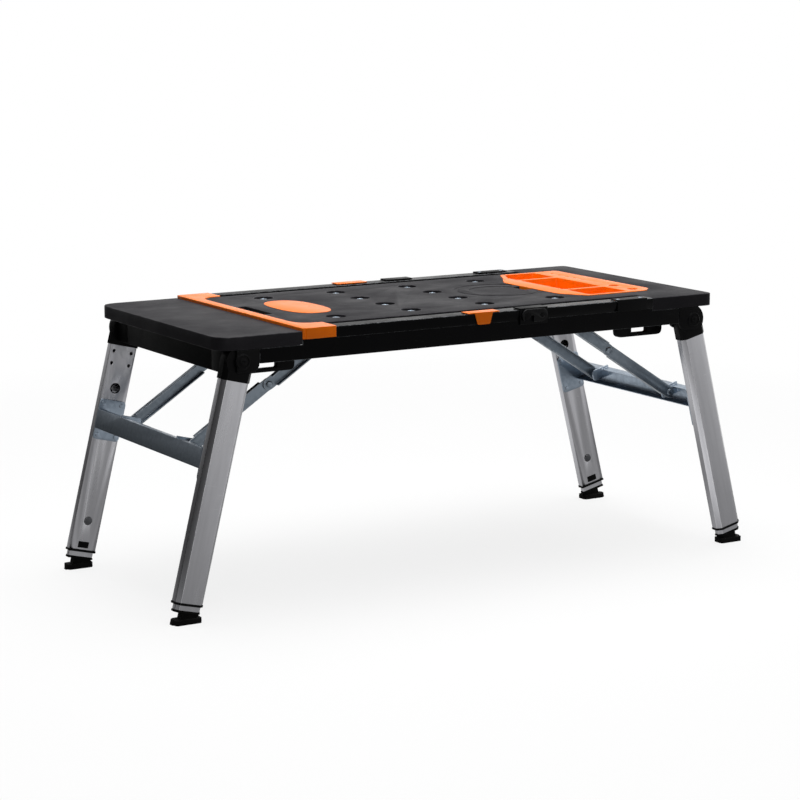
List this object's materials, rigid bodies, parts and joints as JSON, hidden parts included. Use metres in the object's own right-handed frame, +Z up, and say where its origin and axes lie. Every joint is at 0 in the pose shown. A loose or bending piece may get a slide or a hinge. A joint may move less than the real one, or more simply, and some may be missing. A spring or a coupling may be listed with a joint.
{
  "type": "folding workbench",
  "caption": "Low folding workbench: a long plastic deck with side rails, lift-out tool tray and hand slot, on splayed telescopic aluminium legs that fold flat underneath on braced hinges.",
  "frame": {"origin": "on the floor, under the middle of the deck", "axes": "+X along the deck towards the tool tray, +Y across it towards the back, +Z up"},
  "size_m": [1.3142, 0.5498, 0.5328],
  "materials": {
    "deck_plastic": "fine moulded grain, matt",
    "black_plastic": "moulded, satin",
    "orange_plastic": "moulded, satin",
    "rail_metal": "black powder coat",
    "galvanised_steel": "galvanised, pressed sheet",
    "leg_aluminium": "satin anodised extrusion",
    "foot_rubber": "moulded, matt"
  },
  "bodies": {
    "deck": {"deck_panel": "deck_plastic", "end_cap_left": "deck_plastic", "deck_pan": "black_plastic", "rail_clip_front": "black_plastic", "rail_clip_back": "black_plastic", "latch_base_front": "black_plastic", "latch_base_back": "black_plastic", "end_apron_left": "black_plastic", "end_apron_right": "black_plastic", "hinge_housing_front_left": "black_plastic", "hinge_housing_back_left": "black_plastic", "hinge_housing_front_right": "black_plastic", "hinge_housing_back_right": "black_plastic", "grab_loop_front_left": "black_plastic", "grab_loop_back_left": "black_plastic", "grab_loop_front_right": "black_plastic", "grab_loop_back_right": "black_plastic", "trim_bar": "orange_plastic", "badge_plate": "orange_plastic", "centre_tab_front": "orange_plastic", "centre_tab_back": "orange_plastic", "side_rail_front": "rail_metal", "side_rail_back": "rail_metal", "stay_beam_left": "galvanised_steel", "stay_beam_right": "galvanised_steel"},
    "leg_frame_left": {"crossbar_left": "galvanised_steel", "leg_knuckle_front_left": "black_plastic", "leg_tube_front_left": "leg_aluminium", "leg_knuckle_back_left": "black_plastic", "leg_tube_back_left": "leg_aluminium"},
    "inner_leg_front_left": {"inner_leg_front_left": "leg_aluminium", "foot_front_left": "foot_rubber"},
    "button_front_left": {"leg_button_front_left": "black_plastic"},
    "stay_upper_front_left": {"stay_upper_front_left": "galvanised_steel"},
    "stay_lower_front_left": {"stay_lower_front_left": "galvanised_steel"},
    "inner_leg_back_left": {"inner_leg_back_left": "leg_aluminium", "foot_back_left": "foot_rubber"},
    "button_back_left": {"leg_button_back_left": "black_plastic"},
    "stay_upper_back_left": {"stay_upper_back_left": "galvanised_steel"},
    "stay_lower_back_left": {"stay_lower_back_left": "galvanised_steel"},
    "leg_frame_right": {"crossbar_right": "galvanised_steel", "leg_knuckle_front_right": "black_plastic", "leg_tube_front_right": "leg_aluminium", "leg_knuckle_back_right": "black_plastic", "leg_tube_back_right": "leg_aluminium"},
    "inner_leg_front_right": {"inner_leg_front_right": "leg_aluminium", "foot_front_right": "foot_rubber"},
    "button_front_right": {"leg_button_front_right": "black_plastic"},
    "stay_upper_front_right": {"stay_upper_front_right": "galvanised_steel"},
    "stay_lower_front_right": {"stay_lower_front_right": "galvanised_steel"},
    "inner_leg_back_right": {"inner_leg_back_right": "leg_aluminium", "foot_back_right": "foot_rubber"},
    "button_back_right": {"leg_button_back_right": "black_plastic"},
    "stay_upper_back_right": {"stay_upper_back_right": "galvanised_steel"},
    "stay_lower_back_right": {"stay_lower_back_right": "galvanised_steel"},
    "tray": {"tool_tray": "orange_plastic"},
    "latch_front": {"latch_hook_front": "black_plastic"},
    "latch_back": {"latch_hook_back": "black_plastic"}
  },
  "joints": [
    {"name": "leg_fold_left", "type": "hinge", "parent": "deck", "child": "leg_frame_left", "pos_m": [-0.512, 0, 0.479], "axis": [0, -1, 0], "range_deg": [0, 104]},
    {"name": "leg_slide_front_left", "type": "slide", "parent": "leg_frame_left", "child": "inner_leg_front_left", "axis": [0.2419, 0, 0.9703], "range_m": [-0.25, 0]},
    {"name": "button_press_front_left", "type": "slide", "parent": "leg_frame_left", "child": "button_front_left", "axis": [0, -1, 0], "range_m": [0, 0.003], "stiffness_N_per_m": 300},
    {"name": "stay_upper_swing_front_left", "type": "hinge", "parent": "deck", "child": "stay_upper_front_left", "pos_m": [-0.28, 0, 0.482], "axis": [0, -1, 0], "range_deg": [0, 147.27]},
    {"name": "stay_lower_swing_front_left", "type": "hinge", "parent": "leg_frame_left", "child": "stay_lower_front_left", "pos_m": [-0.55191, 0, 0.30653], "axis": [0, -1, 0], "range_deg": [-136.93, 0]},
    {"name": "leg_slide_back_left", "type": "slide", "parent": "leg_frame_left", "child": "inner_leg_back_left", "axis": [0.2419, 0, 0.9703], "range_m": [-0.25, 0]},
    {"name": "button_press_back_left", "type": "slide", "parent": "leg_frame_left", "child": "button_back_left", "axis": [0, 1, 0], "range_m": [0, 0.003], "stiffness_N_per_m": 300},
    {"name": "stay_upper_swing_back_left", "type": "hinge", "parent": "deck", "child": "stay_upper_back_left", "pos_m": [-0.28, 0, 0.482], "axis": [0, -1, 0], "range_deg": [0, 147.27]},
    {"name": "stay_lower_swing_back_left", "type": "hinge", "parent": "leg_frame_left", "child": "stay_lower_back_left", "pos_m": [-0.55191, 0, 0.30653], "axis": [0, -1, 0], "range_deg": [-136.93, 0]},
    {"name": "leg_fold_right", "type": "hinge", "parent": "deck", "child": "leg_frame_right", "pos_m": [0.512, 0, 0.479], "axis": [0, 1, 0], "range_deg": [0, 104]},
    {"name": "leg_slide_front_right", "type": "slide", "parent": "leg_frame_right", "child": "inner_leg_front_right", "axis": [-0.2419, 0, 0.9703], "range_m": [-0.25, 0]},
    {"name": "button_press_front_right", "type": "slide", "parent": "leg_frame_right", "child": "button_front_right", "axis": [0, -1, 0], "range_m": [0, 0.003], "stiffness_N_per_m": 300},
    {"name": "stay_upper_swing_front_right", "type": "hinge", "parent": "deck", "child": "stay_upper_front_right", "pos_m": [0.28, 0, 0.482], "axis": [0, 1, 0], "range_deg": [0, 147.27]},
    {"name": "stay_lower_swing_front_right", "type": "hinge", "parent": "leg_frame_right", "child": "stay_lower_front_right", "pos_m": [0.55191, 0, 0.30653], "axis": [0, 1, 0], "range_deg": [-136.93, 0]},
    {"name": "leg_slide_back_right", "type": "slide", "parent": "leg_frame_right", "child": "inner_leg_back_right", "axis": [-0.2419, 0, 0.9703], "range_m": [-0.25, 0]},
    {"name": "button_press_back_right", "type": "slide", "parent": "leg_frame_right", "child": "button_back_right", "axis": [0, 1, 0], "range_m": [0, 0.003], "stiffness_N_per_m": 300},
    {"name": "stay_upper_swing_back_right", "type": "hinge", "parent": "deck", "child": "stay_upper_back_right", "pos_m": [0.28, 0, 0.482], "axis": [0, 1, 0], "range_deg": [0, 147.27]},
    {"name": "stay_lower_swing_back_right", "type": "hinge", "parent": "leg_frame_right", "child": "stay_lower_back_right", "pos_m": [0.55191, 0, 0.30653], "axis": [0, 1, 0], "range_deg": [-136.93, 0]},
    {"name": "tray_lift", "type": "slide", "parent": "deck", "child": "tray", "axis": [0, 0, 1], "range_m": [0, 0.06]},
    {"name": "latch_swing_front", "type": "hinge", "parent": "deck", "child": "latch_front", "pos_m": [0.139, -0.2729, 0.518], "axis": [0, 1, 0], "range_deg": [0, 80]},
    {"name": "latch_swing_back", "type": "hinge", "parent": "deck", "child": "latch_back", "pos_m": [0.139, 0.2729, 0.518], "axis": [0, 1, 0], "range_deg": [0, 80]}
  ],
  "couplings": [
    {"joint": "stay_upper_swing_front_left", "follows": "leg_fold_left", "ratio": 1.415},
    {"joint": "stay_lower_swing_front_left", "follows": "leg_fold_left", "ratio": -1.3157},
    {"joint": "stay_upper_swing_back_left", "follows": "leg_fold_left", "ratio": 1.415},
    {"joint": "stay_lower_swing_back_left", "follows": "leg_fold_left", "ratio": -1.3157},
    {"joint": "stay_upper_swing_front_right", "follows": "leg_fold_right", "ratio": 1.415},
    {"joint": "stay_lower_swing_front_right", "follows": "leg_fold_right", "ratio": -1.3157},
    {"joint": "stay_upper_swing_back_right", "follows": "leg_fold_right", "ratio": 1.415},
    {"joint": "stay_lower_swing_back_right", "follows": "leg_fold_right", "ratio": -1.3157}
  ]
}
